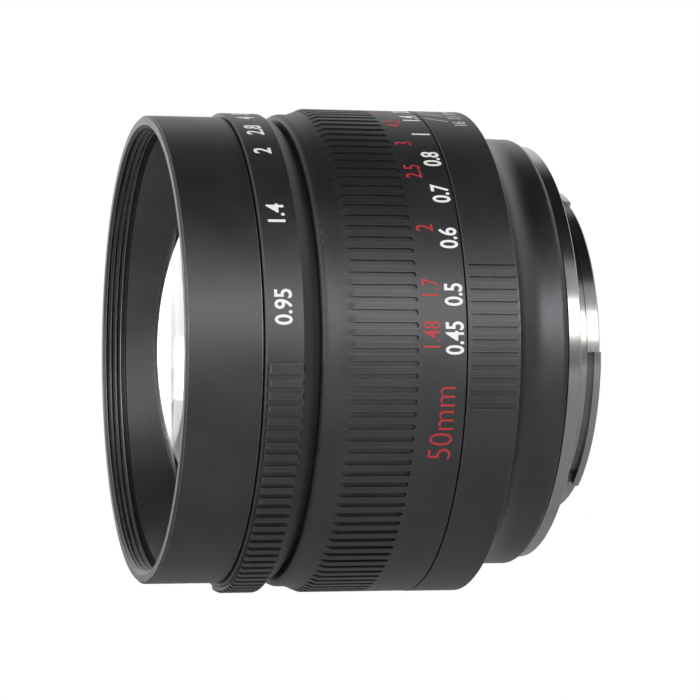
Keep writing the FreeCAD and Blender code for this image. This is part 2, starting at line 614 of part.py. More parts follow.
def element(label, radius, front_rim, rear_rim, front_curve, rear_curve, rear_aperture=None):
    """A lens element. A positive curve has its centre towards the rear and 0 is flat.
    rear_aperture is the rim of a concave rear face that is smaller than the element."""
    front_end, rear_end = front_rim, rear_rim
    front_leg = leg(front_curve, radius) if front_curve else None
    rear_leg = leg(rear_curve, rear_aperture or radius) if rear_curve else None
    if front_curve > 0:
        front_end = front_rim - (Size(front_curve, str(front_curve)) - front_leg)
    if rear_curve < 0:
        rear_end = rear_rim + (Size(-rear_curve, str(-rear_curve)) - rear_leg)
    glass = along_axis("Part::Cylinder", f"{label}_blank", radius, front_end, rear_end)
    faces = []
    if front_curve:
        centre = front_rim + front_leg if front_curve > 0 else front_rim - front_leg
        faces.append(("Part::Common" if front_curve > 0 else "Part::Cut", abs(front_curve), centre))
    if rear_curve:
        centre = rear_rim + rear_leg if rear_curve > 0 else rear_rim - rear_leg
        faces.append(("Part::Common" if rear_curve < 0 else "Part::Cut", abs(rear_curve), centre))
    for kind, curve, centre in faces:
        ground = doc.addObject(kind, f"{label}_ground")
        ground.Base = glass
        ground.Tool = along_axis("Part::Sphere", f"{label}_sphere", curve, centre)
        glass = ground
    glass.Label = label
    sub_parts.append(glass)


element("front_element", glass_one_radius, front_rim, front_seat, 54.0, 400.0)
cement = 0.01
second_rear = doublet_rear - third_edge
third_aperture = doublet_radius - dim("third_element_flat", 6.0)
element("second_element", doublet_radius, second_rear - second_edge, second_rear - cement, 46.0, 200.0)
element("third_element", doublet_radius, second_rear, doublet_rear, 200.0, 38.0, third_aperture)

# ---- iris plate: fixed disc with a pivot hole for each blade ---------------------------
stop_radius = dim("stop_radius", 17.1)
pivot_radius = unit_bore - dim("pivot_circle_inset", 3.6)
pivot_pin = dim("pivot_pin_radius", 0.4)
plate_bore = stop_radius + dim("plate_bore_step", 0.1)
pivot_hole_end = plate_front + dim("pivot_hole_depth", 1.0)
iris_plate = turned("iris_plate", tube(plate_bore, unit_bore - seat_gap, plate_front, plate_rear))
around(iris_plate, section_sketch(iris_plate, "pivot_hole", 0.0, pivot_radius), [
    (0, plate_front - OVERRUN), (pivot_pin + turn_gap, plate_front - OVERRUN),
    (pivot_pin + turn_gap, pivot_hole_end), (0, pivot_hole_end)], blade_count, "Groove")

# ---- iris blades: a blade turns on its pivot pin and is driven at its tail pin ----------
# Angles in the blade's plane run from +X up towards +Z. The blade swings inward by
# blade_swing while the actuator turns from fully open to fully closed.
blade_swing = 36.05
actuator_turn = ring_to_open.value + ring_to_closed.value
swing_ratio = blade_swing / actuator_turn
rest_swing = swing_ratio * ring_to_open.value
tail_length = dim("blade_tail_length", 5.0)
pivot_boss = dim("blade_pivot_boss_radius", 1.1)
tail_boss = dim("blade_tail_boss_radius", 0.6)
drive_pin_radius = dim("blade_drive_pin_radius", 0.25)
blade_outer = stop_radius + dim("blade_width", 7.1)
blade_reach = 98.0
blade_root = 2.0
spacing = 360.0 / blade_count


def polar(radius, angle):
    return Vector(radius * math.cos(math.radians(angle)), 0, radius * math.sin(math.radians(angle)))


def tail_point(swing):
    """Where the tail pin stands once the blade has swung in from open."""
    pivot = Vector(pivot_radius.value, 0, 0)
    return pivot + polar(tail_length.value, -90 - blade_swing / 2 + swing)


def flat_sector(inner, outer, start, end):
    """A flat annular sector between two angles."""
    middle = (start + end) / 2
    edges = [Part.Arc(polar(outer, start), polar(outer, middle), polar(outer, end)).toShape(),
             Part.makeLine(polar(outer, end), polar(inner, end)),
             Part.Arc(polar(inner, end), polar(inner, middle), polar(inner, start)).toShape(),
             Part.makeLine(polar(inner, start), polar(outer, start))]
    return Part.Face(Part.Wire(edges))


def disc(radius, centre):
    return Part.Face(Part.Wire([Part.makeCircle(radius, centre, Vector(0, 1, 0))]))


def strip(start, end, half_width):
    """A straight flat strip between two points."""
    side = (end - start).cross(Vector(0, 1, 0)).normalize() * half_width
    corners = [start + side, end + side, end - side, start - side, start + side]
    return Part.Face(Part.makePolygon(corners))


def blade_shape(number):
    """One blade in its own layer, at the swing it has with the ring at rest."""
    pivot = Vector(pivot_radius.value, 0, 0)
    root = polar((stop_radius.value + blade_outer.value) / 2, blade_root)
    outline = flat_sector(stop_radius.value, blade_outer.value, 0.0, blade_reach)
    pieces = [disc(pivot_boss.value, pivot), strip(pivot, root, pivot_boss.value),
              disc(tail_boss.value, tail_point(0)), strip(pivot, tail_point(0), tail_boss.value)]
    outline = outline.multiFuse(pieces).removeSplitter()
    front = blade_front.value + number * blade_pitch.value
    blade = outline.extrude(Vector(0, blade_thickness.value, 0))
    blade.translate(Vector(0, front, 0))
    pin_front = actuator_front.value + 2 * turn_gap.value
    pivot_length = pivot_hole_end.value - 2 * turn_gap.value - front
    blade = blade.multiFuse([
        Part.makeCylinder(pivot_pin.value, pivot_length, Vector(pivot.x, front, 0), Vector(0, 1, 0)),
        Part.makeCylinder(drive_pin_radius.value, front - pin_front + blade_thickness.value,
                          tail_point(0) + Vector(0, pin_front, 0), Vector(0, 1, 0))])
    blade.rotate(pivot, Vector(0, -1, 0), rest_swing)
    blade.rotate(Vector(0, 0, 0), Vector(0, -1, 0), number * spacing)
    return blade.removeSplitter()


for number in range(blade_count):
    set_shape(f"iris_blade_{number + 1:02d}", blade_shape(number))

# ---- iris actuator: cam disc whose spiral slots pull the blades' tail pins --------------
slot_clearance = dim("cam_slot_clearance", 0.06)
slot_steps = 24
arm_half_span = 6.0
arm_reach = dim("arm_reach", 1.2)


def cam_slot():
    """A spiral slot that follows the tail pin through the whole turn, at rest."""
    half = drive_pin_radius.value + slot_clearance.value
    centres = []
    for step in range(-1, slot_steps + 2):
        swing = blade_swing * step / slot_steps
        turn_back = swing / swing_ratio - ring_to_open.value
        centres.append(Rotation(Vector(0, 1, 0), -turn_back).multVec(tail_point(swing)))
    sides = ([], [])
    for before, here, after in zip(centres, centres[1:], centres[2:]):
        across = (after - before).cross(Vector(0, 1, 0)).normalize() * half
        sides[0].append(here + across)
        sides[1].append(here - across)
    curves = []
    for side in (sides[0], sides[1][::-1]):
        spline = Part.BSplineCurve()
        spline.interpolate(side)
        curves.append(spline.toShape())
    tips = []
    for here, outer in ((centres[-2], centres[-1]), (centres[1], centres[0])):
        tips.append(here + (outer - here).normalize() * half)
    caps = [Part.Arc(sides[0][-1], tips[0], sides[1][-1]).toShape(),
            Part.Arc(sides[1][0], tips[1], sides[0][0]).toShape()]
    face = Part.Face(Part.Wire([curves[0], caps[0], curves[1], caps[1]]))
    slot = face.extrude(Vector(0, actuator_thickness.value + 2 * OVERRUN, 0))
    slot.translate(Vector(0, actuator_front.value - OVERRUN, 0))
    return slot


def cylinder_between(radius, front, rear):
    return Part.makeCylinder(radius, rear - front, Vector(0, front, 0), Vector(0, 1, 0))


def actuator_shape():
    """The cam disc with an arm that reaches forward to the aperture ring's drive pin."""
    front = actuator_front.value
    rear = front + actuator_thickness.value
    plate = cylinder_between(unit_bore.value - 2 * turn_gap.value, front, rear)
    plate = plate.cut(cylinder_between(stop_radius.value + slide_gap.value, front - OVERRUN,
                                       rear + OVERRUN))
    arm_front = pin_station.value - arm_reach.value
    arm = flat_sector(arm_outside.value - arm_thickness.value, arm_outside.value,
                      pin_angle - arm_half_span, pin_angle + arm_half_span)
    arm = arm.extrude(Vector(0, front + OVERRUN - arm_front, 0))
    arm.translate(Vector(0, arm_front, 0))
    slot = cam_slot()
    slots = []
    for turn_number in range(blade_count):
        copy = slot.copy()
        copy.rotate(Vector(0, 0, 0), Vector(0, -1, 0), turn_number * spacing)
        slots.append(copy)
    plate = plate.cut(slots)
    plate = plate.fuse(arm)
    outward = polar(1, pin_angle)
    hole_start = polar(arm_outside.value - CUTTER_REACH / 2, pin_angle) + Vector(0, pin_station.value, 0)
    return plate.cut(Part.makeCylinder(pin_radius.value + seat_gap.value, CUTTER_REACH, hole_start, outward))


set_shape("iris_actuator", actuator_shape())

# ---- helicoids: ten-start threads swept with a straight-flanked tooth -------------------
tooth_root_span = 18.5
tooth_crest_span = 16.5


def toothed_wire(root, crest, root_span, crest_span, station):
    """The closed cross-section of the thread: teeth of arcs joined by straight flanks."""
    edges = []
    step = 360.0 / helix_starts
    lift = Vector(0, station, 0)
    for number in range(helix_starts):
        centre = number * step
        crest_start = centre - crest_span / 2
        crest_end = centre + crest_span / 2
        root_start = centre + root_span / 2
        root_end = centre + step - root_span / 2
        edges.append(Part.Arc(polar(crest, crest_start) + lift, polar(crest, centre) + lift,
                              polar(crest, crest_end) + lift).toShape())
        edges.append(Part.makeLine(polar(crest, crest_end) + lift, polar(root, root_start) + lift))
        edges.append(Part.Arc(polar(root, root_start) + lift, polar(root, centre + step / 2) + lift,
                              polar(root, root_end) + lift).toShape())
        edges.append(Part.makeLine(polar(root, root_end) + lift,
                                   polar(crest, crest_start + step) + lift))
    return Part.Wire(edges)


def threaded_core(wire, front, rear):
    """Sweep the cross-section along the lens while it turns left-handed at the
    helicoid's lead."""
    spine = Part.Wire([Part.makeLine(Vector(0, front, 0), Vector(0, rear, 0))])
    guide = Part.makeLongHelix(helix_lead.value, rear - front, male_root.value, 0, True)
    guide.Placement = Placement(Vector(0, front, 0), AXIS_ALONG_Y)
    sweep = Part.BRepOffsetAPI.MakePipeShell(spine)
    sweep.setAuxiliarySpine(Part.Wire(guide.Edges), True, 0)
    sweep.add(wire, False, False)
    sweep.build()
    sweep.makeSolid()
    return sweep.shape()


def axial_holes(circle_radius, start_angle, count, radius, front, rear):
    holes = []
    for number in range(count):
        centre = polar(circle_radius, start_angle + number * 360.0 / count)
        holes.append(Part.makeCylinder(radius, rear - front, centre + Vector(0, front, 0), Vector(0, 1, 0)))
    return holes


key_width = dim("key_width", 4.0)
key_front = web_front - dim("key_reach", 10.8)
key_slot_front = key_front - rear_travel - dim("key_end_gap", 0.5)
cell_ledge_front = helicoid_flange_rear + dim("cell_ledge_setback", 0.2)
cell_ledge_rear = cell_ledge_front + dim("cell_ledge_length", 3.0)
rear_cell_radius = tail_flange_bore - end_gap


def male_helicoid_shape():
    """The lens unit's thread, with a front flange, a ledge for the rear cell and two
    slots for the guide keys."""
    front = unit_rear.value
    shape = threaded_core(toothed_wire(male_root.value, male_crest.value, tooth_root_span,
                                       tooth_crest_span, front), front, male_rear.value)
    flange_rear = helicoid_flange_rear.value
    shape = shape.fuse(cylinder_between(neck_radius.value - 2 * turn_gap.value, front, flange_rear))
    ledge = cell_ledge_front.value
    shape = shape.cut([
        cylinder_between(male_bore.value, front - OVERRUN, ledge),
        cylinder_between(rear_cell_radius.value + seat_gap.value, ledge - OVERRUN, cell_ledge_rear.value),
        cylinder_between(male_bore.value, cell_ledge_rear.value - OVERRUN, male_rear.value + OVERRUN)])
    width = key_width.value + 2 * end_gap.value
    reach = 2 * male_crest.value + 2 * OVERRUN
    shape = shape.cut(Part.makeBox(reach, male_rear.value - key_slot_front.value + OVERRUN, width,
                                   Vector(-reach / 2, key_slot_front.value, -width / 2)))
    circle = barrel_screw_radius.value
    shape = shape.cut(axial_holes(circle, 0, small_screws, small_thread.value + head_gap.value,
                                  front - OVERRUN, flange_rear + OVERRUN))
    return shape.cut(axial_holes(circle, 0, small_screws, small_head.value + seat_gap.value,
                                 flange_rear - head_depth.value, flange_rear + OVERRUN))


def female_helicoid_shape():
    """The focus ring's thread, with a flange that screws to the ring and a collar that
    runs in the base barrel."""
    flank_gap = 1.6 * thread_gap.value
    gap_angle = math.degrees(flank_gap / male_crest.value)
    wire = toothed_wire(male_root.value + thread_gap.value, male_crest.value + thread_gap.value,
                        tooth_root_span + 2 * gap_angle, tooth_crest_span + 2 * gap_angle,
                        unit_rear.value)
    front = female_front.value
    rear = female_rear.value
    core = threaded_core(wire, unit_rear.value, rear + OVERRUN)
    outside = cylinder_between(female_radius.value, front, rear)
    outside = outside.multiFuse([cylinder_between(focus_bore.value - seat_gap.value, front,
                                                  shoulder_front.value),
                                 cylinder_between(collar_radius.value, collar_front.value, rear)])
    shape = outside.cut(core)
    circle = helicoid_screw_radius.value
    shape = shape.cut(axial_holes(circle, helicoid_screw_angle, small_screws,
                                  small_thread.value + head_gap.value, front - OVERRUN,
                                  shoulder_front.value + OVERRUN))
    return shape.cut(axial_holes(circle, helicoid_screw_angle, small_screws,
                                 small_head.value + seat_gap.value, front - OVERRUN,
                                 front + head_depth.value))


set_shape("lens_helicoid", male_helicoid_shape())
set_shape("focus_helicoid", female_helicoid_shape())


# ---- small screws ------------------------------------------------------------------------
def flat_screw(thread_radius, head_radius, head_face, depth, tip):
    """Half of a cheese-head screw from its head's face to its tip."""
    inside = head_face + depth if value_of(tip) > value_of(head_face) else head_face - depth
    return [(0, head_face), (head_radius, head_face), (head_radius, inside),
            (thread_radius, inside), (thread_radius, tip), (0, tip)]


screw_core = small_thread - thread_slack
head_height = head_depth - head_gap
barrel_screws = new_body("barrel_screws")
around(barrel_screws, section_sketch(barrel_screws, "screw", 0.0, barrel_screw_radius),
       flat_screw(screw_core, small_head, helicoid_flange_rear - seat_gap, head_height,
                  unit_rear - screw_hole_depth + end_gap), small_screws, "Revolution")
focus_screws = new_body("helicoid_screws")
around(focus_screws, section_sketch(focus_screws, "screw", helicoid_screw_angle, helicoid_screw_radius),
       flat_screw(screw_core, small_head, female_front + seat_gap, head_height,
                  focus_hole_end - end_gap), small_screws, "Revolution")

# ---- guide keys: stop the lens unit turning while it slides --------------------------------
key_rear = cover_rear - tail_flange - end_gap
key_inset = dim("key_inset", 0.6)


def key_shape(angle):
    inner = male_bore.value - key_inset.value
    outer = tail_bore.value - seat_gap.value
    bar = Part.makeBox(outer - inner, key_rear.value - key_front.value, key_width.value,
                       Vector(inner, key_front.value, -key_width.value / 2))
    bar = bar.common(cylinder_between(outer, key_front.value, key_rear.value))
    hole = Part.makeCylinder(small_thread.value, CUTTER_REACH,
                             Vector(inner - OVERRUN, key_screw_station.value, 0), Vector(1, 0, 0))
    bar = bar.cut(hole)
    bar.rotate(Vector(0, 0, 0), Vector(0, -1, 0), angle)
    return bar


set_shape("guide_keys", Part.makeCompound([key_shape(key_angle) for key_angle in key_angles]))
key_screws = new_body("key_screws")
around(key_screws, radial_sketch(key_screws, "screw", 0.0, key_screw_station), [
    (0, male_bore), (screw_core, male_bore), (screw_core, tail_radius - head_depth),
    (small_head, tail_radius - head_gap), (0, tail_radius - head_gap)], 2, "Revolution")

# ---- rear cell and the four elements behind the stop ------------------------------------------
rear_glass_radius = dim("rear_doublet_radius", 19.5)
last_glass_radius = dim("last_element_radius", 17.5)
rear_cell_front = plate_rear + dim("rear_cell_gap", 0.3)
fourth_front = rear_cell_front + dim("fourth_element_setback", 0.7)
fourth_rear = fourth_front + dim("fourth_element_edge", 5.8)
fifth_rear = fourth_rear + dim("fifth_element_edge", 0.85)
sixth_front = fifth_rear + dim("rear_spacer_length", 9.81)
sixth_rear = sixth_front + dim("sixth_element_edge", 1.08)
last_rear = sixth_rear + dim("last_element_setback", 8.46)
last_edge = dim("last_element_edge", 1.1)
rear_cell_rear = last_rear + dim("rear_retainer_length", 0.45)
nose_radius = rear_glass_radius + dim("rear_cell_nose_wall", 2.0)
rim_radius = male_bore - dim("rear_cell_rim_gap", 0.4)
rim_front = cell_ledge_front - dim("rear_cell_rim_length", 1.5)
cell_step = shim_rear - rear_travel - end_gap
cell_tail_radius = mount_bore - slide_gap
last_seat = last_rear - last_edge - dim("last_seat_room", 0.35)
sixth_seat = sixth_rear + dim("sixth_seat_room", 0.92)
cell_throat = last_glass_radius - dim("rear_seat_lap", 0.7)
turned("rear_cell", [
    (rear_glass_radius + rim_gap, rear_cell_front), (nose_radius, rear_cell_front),
    (nose_radius, rim_front), (rim_radius, rim_front), (rim_radius, cell_ledge_front),
    (rear_cell_radius, cell_ledge_front), (rear_cell_radius, cell_step), (cell_tail_radius, cell_step),
    (cell_tail_radius, rear_cell_rear), (last_glass_radius + rim_gap, rear_cell_rear),
    (last_glass_radius + rim_gap, last_seat), (cell_throat, last_seat), (cell_throat, sixth_seat),
    (rear_glass_radius + rim_gap, sixth_seat)])
element("fourth_element", rear_glass_radius, fourth_front, fourth_rear - cement, -30.0, 0)
element("fifth_element", rear_glass_radius, fourth_rear, fifth_rear, 0, -34.0)
element("sixth_element", rear_glass_radius, sixth_front, sixth_rear, 60.0, -60.0)
element("rear_element", last_glass_radius, last_rear - last_edge, last_rear, 42.0, 0)
front_ring_bore = rear_glass_radius - dim("doublet_front_ring_width", 3.0)
spacer_bore = rear_glass_radius - dim("rear_spacer_wall", 0.9)
spacer_relief = dim("rear_spacer_relief", 0.75)
retainer_bore = last_glass_radius - dim("rear_retainer_width", 1.4)
turned("doublet_front_ring", tube(front_ring_bore, rear_glass_radius, rear_cell_front + turn_gap,
                                  fourth_front - seat_gap))
turned("rear_spacer", tube(spacer_bore, rear_glass_radius, fifth_rear + spacer_relief,
                           sixth_front - spacer_relief))
turned("rear_retainer", tube(retainer_bore, last_glass_radius, last_rear + seat_gap, rear_cell_rear))

# ---- check every object and write the sub-parts ---------------------------------------
doc.recompute()
failed = [item for item in doc.Objects if "Invalid" in item.State or "Error" in item.State]
if failed:
    raise RuntimeError(f"these objects failed: {[(item.Name, item.Label) for item in failed]}")
for piece in sub_parts:
    if piece.Shape.isNull() or not piece.Shape.isValid() or piece.Shape.Volume <= 0:
        raise RuntimeError(f"{piece.Label} has no valid solid")

os.makedirs("parts", exist_ok=True)
for piece in sub_parts:
    piece.Shape.exportStep(os.path.join("parts", f"{piece.Label}.step"))
    print(piece.Label, len(piece.Shape.Solids), round(piece.Shape.Volume, 3))
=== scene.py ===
# A fast 50 mm prime camera lens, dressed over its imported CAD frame.
import bpy
import json
import math
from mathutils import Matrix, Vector

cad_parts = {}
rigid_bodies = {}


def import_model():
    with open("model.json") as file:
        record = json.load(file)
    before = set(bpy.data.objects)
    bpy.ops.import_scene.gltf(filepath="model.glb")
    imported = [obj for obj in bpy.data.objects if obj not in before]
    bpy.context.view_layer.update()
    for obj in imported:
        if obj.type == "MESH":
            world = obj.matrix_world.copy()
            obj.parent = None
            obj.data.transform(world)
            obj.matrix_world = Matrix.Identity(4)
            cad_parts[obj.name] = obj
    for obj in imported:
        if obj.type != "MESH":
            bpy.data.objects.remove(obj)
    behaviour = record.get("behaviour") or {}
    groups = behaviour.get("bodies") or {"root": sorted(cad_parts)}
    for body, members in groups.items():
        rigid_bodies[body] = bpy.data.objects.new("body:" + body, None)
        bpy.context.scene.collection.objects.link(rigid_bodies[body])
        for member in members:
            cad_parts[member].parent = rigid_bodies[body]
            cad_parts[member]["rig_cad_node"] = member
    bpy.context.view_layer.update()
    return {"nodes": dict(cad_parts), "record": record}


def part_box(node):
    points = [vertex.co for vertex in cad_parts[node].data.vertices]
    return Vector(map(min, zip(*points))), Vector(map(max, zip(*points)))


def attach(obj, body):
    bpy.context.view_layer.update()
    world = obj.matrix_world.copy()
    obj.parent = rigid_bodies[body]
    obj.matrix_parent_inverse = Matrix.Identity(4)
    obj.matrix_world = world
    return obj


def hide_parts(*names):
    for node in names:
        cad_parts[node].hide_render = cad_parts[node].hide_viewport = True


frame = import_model()
bpy.ops.object.select_all(action="DESELECT")

# ---- viewpoint, light and backdrop ---------------------------------------------
# The lens hangs level, seen through a long camera lens from a little ahead of square-on.
# One big soft light stands beside the camera, a paler one behind, and a dark card
# overhead leaves the black band that turned black metal needs to read as metal.
MM = 0.001
camera_place = Vector((0.4300, -0.1329, 0.0001))
camera_aim = Vector((-0.9697, 0.2445, 0.0))
camera_roll = math.radians(0.26)
bpy.ops.object.camera_add(location=camera_place)
camera = bpy.context.object
camera.rotation_euler = camera_aim.to_track_quat("-Z", "Y").to_euler()
camera.rotation_euler.rotate_axis("Z", camera_roll)
camera.data.lens = 162.6
camera.data.sensor_width = 36.0
camera.data.clip_start = 0.01
bpy.context.scene.camera = camera
bpy.context.scene.view_settings.view_transform = "Standard"

world = bpy.data.worlds.new("studio")
bpy.context.scene.world = world
world.use_nodes = True
sky = world.node_tree
sky.nodes.clear()


def add_node(tree, kind, **values):
    """Add a shader node; names ending in a socket's name set that input."""
    node = tree.nodes.new(kind)
    for key, value in values.items():
        if hasattr(node, key):
            setattr(node, key, value)
        else:
            node.inputs[key.replace("_", " ")].default_value = value
    return node


def join(tree, source, output, target, socket):
    tree.links.new(source.outputs[output], target.inputs[socket])


def maths(tree, operation, first, second=None, clamp=False):
    """A Math node fed by sockets or plain numbers; returns its output socket."""
    node = tree.nodes.new("ShaderNodeMath")
    node.operation = operation
    node.use_clamp = clamp
    for number, item in enumerate((first, second)):
        if item is None:
            continue
        if isinstance(item, (int, float)):
            node.inputs[number].default_value = item
        else:
            tree.links.new(item, node.inputs[number])
    return node.outputs[0]


def ramp(tree, socket, stops, interpolation="EASE"):
    """A Color Ramp over a socket, from (position, grey) stops."""
    node = tree.nodes.new("ShaderNodeValToRGB")
    node.color_ramp.interpolation = interpolation
    points = node.color_ramp.elements
    while len(points) < len(stops):
        points.new(0.5)
    for point, (place, shade) in zip(points, stops):
        point.position = place
        point.color = (shade, shade, shade, 1) if isinstance(shade, float) else (*shade, 1)
    tree.links.new(socket, node.inputs[0])
    return node.outputs[0]


sky_coords = add_node(sky, "ShaderNodeTexCoord")
sky_parts = add_node(sky, "ShaderNodeSeparateXYZ")
join(sky, sky_coords, "Generated", sky_parts, "Vector")
height = maths(sky, "MULTIPLY_ADD", sky_parts.outputs["Z"], 0.5)
height.node.inputs[2].default_value = 0.5
near_side = ramp(sky, height, [(0.0, 0.24), (0.42, 0.30), (0.50, 0.36), (0.62, 0.80), (0.70, 0.85),
                               (0.84, 0.62), (0.89, 0.05), (1.0, 0.02)])
far_side = ramp(sky, height, [(0.0, 0.26), (0.40, 0.50), (0.56, 0.95), (0.82, 0.95), (0.89, 0.30),
                              (0.94, 0.03), (1.0, 0.02)])
side = maths(sky, "MULTIPLY_ADD", sky_parts.outputs["X"], 1.6, clamp=True)
side.node.inputs[2].default_value = 0.45
studio = add_node(sky, "ShaderNodeMix", data_type="RGBA")
sky.links.new(side, studio.inputs[0])
sky.links.new(far_side, studio.inputs[6])
sky.links.new(near_side, studio.inputs[7])
rays = add_node(sky, "ShaderNodeLightPath")
seen = maths(sky, "ADD", rays.outputs["Is Camera Ray"], rays.outputs["Is Transmission Ray"], clamp=True)
backdrop = add_node(sky, "ShaderNodeMix", data_type="RGBA")
backdrop.inputs[7].default_value = (1, 1, 1, 1)
sky.links.new(seen, backdrop.inputs[0])
sky.links.new(studio.outputs[2], backdrop.inputs[6])
sky_light = add_node(sky, "ShaderNodeBackground", Strength=1.0)
sky_out = add_node(sky, "ShaderNodeOutputWorld")
sky.links.new(backdrop.outputs[2], sky_light.inputs["Color"])
join(sky, sky_light, "Background", sky_out, "Surface")


def soft_light(name, place, aim, width, depth, power):
    """A rectangular studio softbox."""
    bpy.ops.object.light_add(type="AREA", location=place)
    light = bpy.context.object
    light.name = name
    light.data.shape = "RECTANGLE"
    light.data.size = width
    light.data.size_y = depth
    light.data.energy = power
    light.rotation_euler = (Vector(aim) - Vector(place)).to_track_quat("-Z", "Y").to_euler()


lens_middle = (0.0, -0.027, 0.0)
soft_light("side_softbox", (0.80, 0.05, 0.26), lens_middle, 0.9, 0.30, 3.0)
soft_light("front_softbox", (0.25, -0.85, 0.10), lens_middle, 0.7, 0.7, 3.0)
soft_light("window_softbox", (-1.15, -0.50, 0.0), lens_middle, 0.8, 1.1, 3.0)

bpy.ops.mesh.primitive_plane_add(size=6.0, location=(0, 0, -0.12))
floor = bpy.context.object
floor.name = "pale_floor"
floor_paint = bpy.data.materials.new("pale_floor")
floor_paint.use_nodes = True
floor_tree = floor_paint.node_tree
floor_surface = floor_tree.nodes["Principled BSDF"]
floor_surface.inputs["Base Color"].default_value = (0.62, 0.62, 0.62, 1)
floor_surface.inputs["Roughness"].default_value = 0.9
floor_white = add_node(floor_tree, "ShaderNodeEmission", Strength=1.0)
floor_rays = add_node(floor_tree, "ShaderNodeLightPath")
floor_mix = add_node(floor_tree, "ShaderNodeMixShader")
join(floor_tree, floor_rays, "Is Camera Ray", floor_mix, 0)
join(floor_tree, floor_surface, "BSDF", floor_mix, 1)
join(floor_tree, floor_white, "Emission", floor_mix, 2)
join(floor_tree, floor_mix, "Shader", floor_tree.nodes["Material Output"], "Surface")
floor.data.materials.append(floor_paint)

# ---- black anodised aluminium: the rings, barrel, covers and cells ------------------
# Each ring is turned from aluminium bar, bead-blasted or left with its fine turning
# marks, and anodised black. Its sharp edges are painted a little paler: partly handling
# wear, partly a painted highlight where they catch the light.
def effect_group(name, inputs, outputs):
    """An empty shader node group with named sockets."""
    group = bpy.data.node_groups.new(name, "ShaderNodeTree")
    for label, kind, value in inputs:
        socket = group.interface.new_socket(name=label, in_out="INPUT", socket_type=kind)
        socket.default_value = value
    for label, kind in outputs:
        group.interface.new_socket(name=label, in_out="OUTPUT", socket_type=kind)
    source = group.nodes.new("NodeGroupInput")
    target = group.nodes.new("NodeGroupOutput")
    return group, source, target


FLOAT = "NodeSocketFloat"

turning, turning_in, turning_out = effect_group(
    "turning_marks", [("Marks per mm", FLOAT, 6.0), ("Waver", FLOAT, 0.15)], [("Marks", FLOAT)])
turning_place = add_node(turning, "ShaderNodeTexCoord")
turning_parts = add_node(turning, "ShaderNodeSeparateXYZ")
join(turning, turning_place, "Object", turning_parts, "Vector")
across_axis = add_node(turning, "ShaderNodeCombineXYZ")
join(turning, turning_parts, "X", across_axis, "X")
join(turning, turning_parts, "Z", across_axis, "Z")
radius_of = add_node(turning, "ShaderNodeVectorMath", operation="LENGTH")
join(turning, across_axis, "Vector", radius_of, 0)
along = maths(turning, "MULTIPLY", turning_parts.outputs["Y"], 1000.0)
outward = maths(turning, "MULTIPLY", radius_of.outputs["Value"], 1000.0)
marks_along = maths(turning, "MULTIPLY", along, turning_in.outputs["Marks per mm"])
marks_out = maths(turning, "MULTIPLY", outward, turning_in.outputs["Marks per mm"])
waver = add_node(turning, "ShaderNodeTexNoise", Scale=90.0, Detail=2.0)
join(turning, turning_place, "Object", waver, "Vector")
waver_amount = maths(turning, "MULTIPLY", waver.outputs["Fac"], turning_in.outputs["Waver"])
mark_vector = add_node(turning, "ShaderNodeCombineXYZ")
turning.links.new(marks_along, mark_vector.inputs["X"])
turning.links.new(marks_out, mark_vector.inputs["Y"])
turning.links.new(waver_amount, mark_vector.inputs["Z"])
mark_noise = add_node(turning, "ShaderNodeTexNoise", Scale=1.0, Detail=3.0, Roughness=0.65)
join(turning, mark_vector, "Vector", mark_noise, "Vector")
join(turning, mark_noise, "Fac", turning_out, "Marks")

grain, grain_in, grain_out = effect_group(
    "blasted_grain", [("Grains per mm", FLOAT, 9.0)], [("Grain", FLOAT), ("Mottle", FLOAT)])
grain_place = add_node(grain, "ShaderNodeTexCoord")
grain_scale = maths(grain, "MULTIPLY", grain_in.outputs["Grains per mm"], 1000.0)
grain_noise = add_node(grain, "ShaderNodeTexNoise", Detail=2.0, Roughness=0.7)
grain.links.new(grain_scale, grain_noise.inputs["Scale"])
join(grain, grain_place, "Object", grain_noise, "Vector")
mottle_noise = add_node(grain, "ShaderNodeTexNoise", Scale=140.0, Detail=4.0)
join(grain, grain_place, "Object", mottle_noise, "Vector")
join(grain, grain_noise, "Fac", grain_out, "Grain")
join(grain, mottle_noise, "Fac", grain_out, "Mottle")

# Paler sharp edges: partly handling wear, partly a painted highlight where the edges catch the light.
wear_and_highlight, wear_and_highlight_in, wear_and_highlight_out = effect_group(
    "edge_wear_and_highlight", [("Width", FLOAT, 0.00012), ("Amount", FLOAT, 1.0)], [("Edge", FLOAT)])
edge_bevel = add_node(wear_and_highlight, "ShaderNodeBevel", samples=6)
wear_and_highlight.links.new(wear_and_highlight_in.outputs["Width"], edge_bevel.inputs["Radius"])
edge_shape = add_node(wear_and_highlight, "ShaderNodeNewGeometry")
edge_dot = add_node(wear_and_highlight, "ShaderNodeVectorMath", operation="DOT_PRODUCT")
join(wear_and_highlight, edge_bevel, "Normal", edge_dot, 0)
join(wear_and_highlight, edge_shape, "Normal", edge_dot, 1)
edge_mask = maths(wear_and_highlight, "SUBTRACT", 1.0, edge_dot.outputs["Value"], clamp=True)
edge_break_noise = add_node(wear_and_highlight, "ShaderNodeTexNoise", Scale=900.0, Detail=3.0)
edge_coords = add_node(wear_and_highlight, "ShaderNodeTexCoord")
join(wear_and_highlight, edge_coords, "Object", edge_break_noise, "Vector")
edge_patches = ramp(wear_and_highlight, edge_break_noise.outputs["Fac"], [(0.35, 0.35), (0.65, 1.0)])
paled_edge_mask = maths(wear_and_highlight, "MULTIPLY", maths(wear_and_highlight, "MULTIPLY", edge_mask, 7.0), edge_patches)
paled_edge_total = maths(wear_and_highlight, "MULTIPLY", paled_edge_mask, wear_and_highlight_in.outputs["Amount"], clamp=True)
wear_and_highlight.links.new(paled_edge_total, wear_and_highlight_out.inputs["Edge"])


